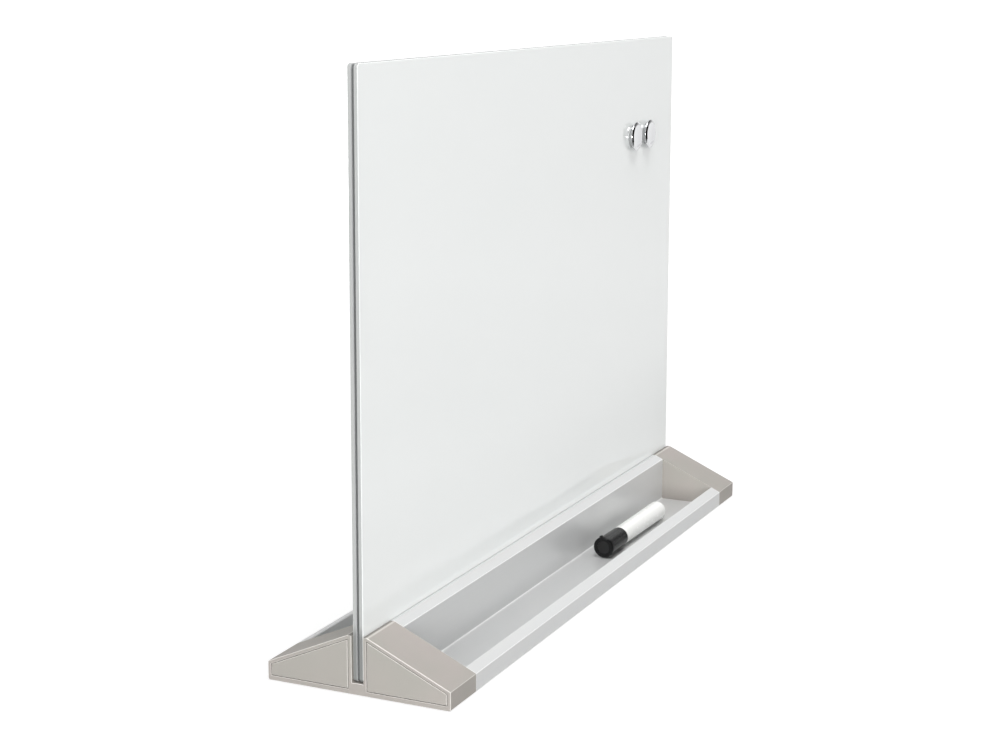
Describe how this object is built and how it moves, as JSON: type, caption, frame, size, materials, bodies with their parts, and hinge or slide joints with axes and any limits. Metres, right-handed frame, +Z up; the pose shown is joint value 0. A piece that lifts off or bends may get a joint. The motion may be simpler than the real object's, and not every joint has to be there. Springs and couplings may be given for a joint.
{
  "type": "magnetic desk whiteboard easel",
  "caption": "Upright double-sided white glass magnetic board standing in a low aluminium double pen-tray base with moulded end caps, with round chrome magnets and a capped marker.",
  "frame": {"origin": "on the desk, under the middle of the base", "axes": "+X along the board to the right seen from the front, +Y to the rear, +Z up; the front with the magnets and the marker faces -Y"},
  "size_m": [0.597, 0.142, 0.429],
  "materials": {
    "anodised_section": "satin silver anodised extrusion with fine lines along its length",
    "cap_moulding": "warm grey metallic paint on moulded ABS",
    "cover_panel": "warm grey metallic paint on moulded ABS",
    "zinc_screws": "zinc plated screws",
    "grey_gasket": "soft light grey glazing strip",
    "black_rubber": "black rubber",
    "white_glass": "white back-painted glass, polished face and ground edge",
    "steel_sheet": "bare steel sheet edge",
    "bond_film": "dark bonding film",
    "chrome_plate": "bright chrome plating",
    "nickel_magnet": "nickel plated magnet",
    "magnet_pad": "thin grey pad",
    "white_barrel": "glossy white plastic",
    "nib_fibre": "inked fibre nib",
    "reservoir_fibre": "inked fibre rod",
    "black_cap": "semi-gloss black plastic",
    "black_disc": "matt black end disc",
    "cap_liner_plastic": "natural plastic seal"
  },
  "bodies": {
    "base": {"base_extrusion": "anodised_section", "left_end_cap": "cap_moulding", "right_end_cap": "cap_moulding", "left_front_inlay": "cover_panel", "left_rear_inlay": "cover_panel", "right_front_inlay": "cover_panel", "right_rear_inlay": "cover_panel", "left_cap_screws": "zinc_screws", "right_cap_screws": "zinc_screws", "front_channel_gasket": "grey_gasket", "rear_channel_gasket": "grey_gasket", "setting_blocks": "black_rubber", "base_feet": "black_rubber"},
    "board": {"front_glass": "white_glass", "rear_glass": "white_glass", "steel_core": "steel_sheet", "front_bond_film": "bond_film", "rear_bond_film": "bond_film"},
    "left_magnet": {"left_magnet_knob": "chrome_plate", "left_magnet_disc": "nickel_magnet", "left_magnet_pad": "magnet_pad"},
    "right_magnet": {"right_magnet_knob": "chrome_plate", "right_magnet_disc": "nickel_magnet", "right_magnet_pad": "magnet_pad"},
    "marker": {"marker_barrel": "white_barrel", "marker_nib_holder": "white_barrel", "marker_nib": "nib_fibre", "ink_reservoir": "reservoir_fibre"},
    "marker_cap_body": {"marker_cap": "black_cap", "cap_end_disc": "black_disc", "cap_liner": "cap_liner_plastic"}
  },
  "joints": [
    {"name": "board_lift", "type": "slide", "parent": "base", "child": "board", "axis": [0, 0, 1], "range_m": [0, 0.05]},
    {"name": "left_magnet_pull", "type": "slide", "parent": "board", "child": "left_magnet", "axis": [0, -1, 0], "range_m": [0, 0.03]},
    {"name": "right_magnet_pull", "type": "slide", "parent": "board", "child": "right_magnet", "axis": [0, -1, 0], "range_m": [0, 0.03]},
    {"name": "marker_lift", "type": "slide", "parent": "base", "child": "marker", "axis": [0, 0, 1], "range_m": [0, 0.06]},
    {"name": "cap_pull", "type": "slide", "parent": "marker", "child": "marker_cap_body", "axis": [-1, 0, 0.0047], "range_m": [0, 0.04]}
  ]
}
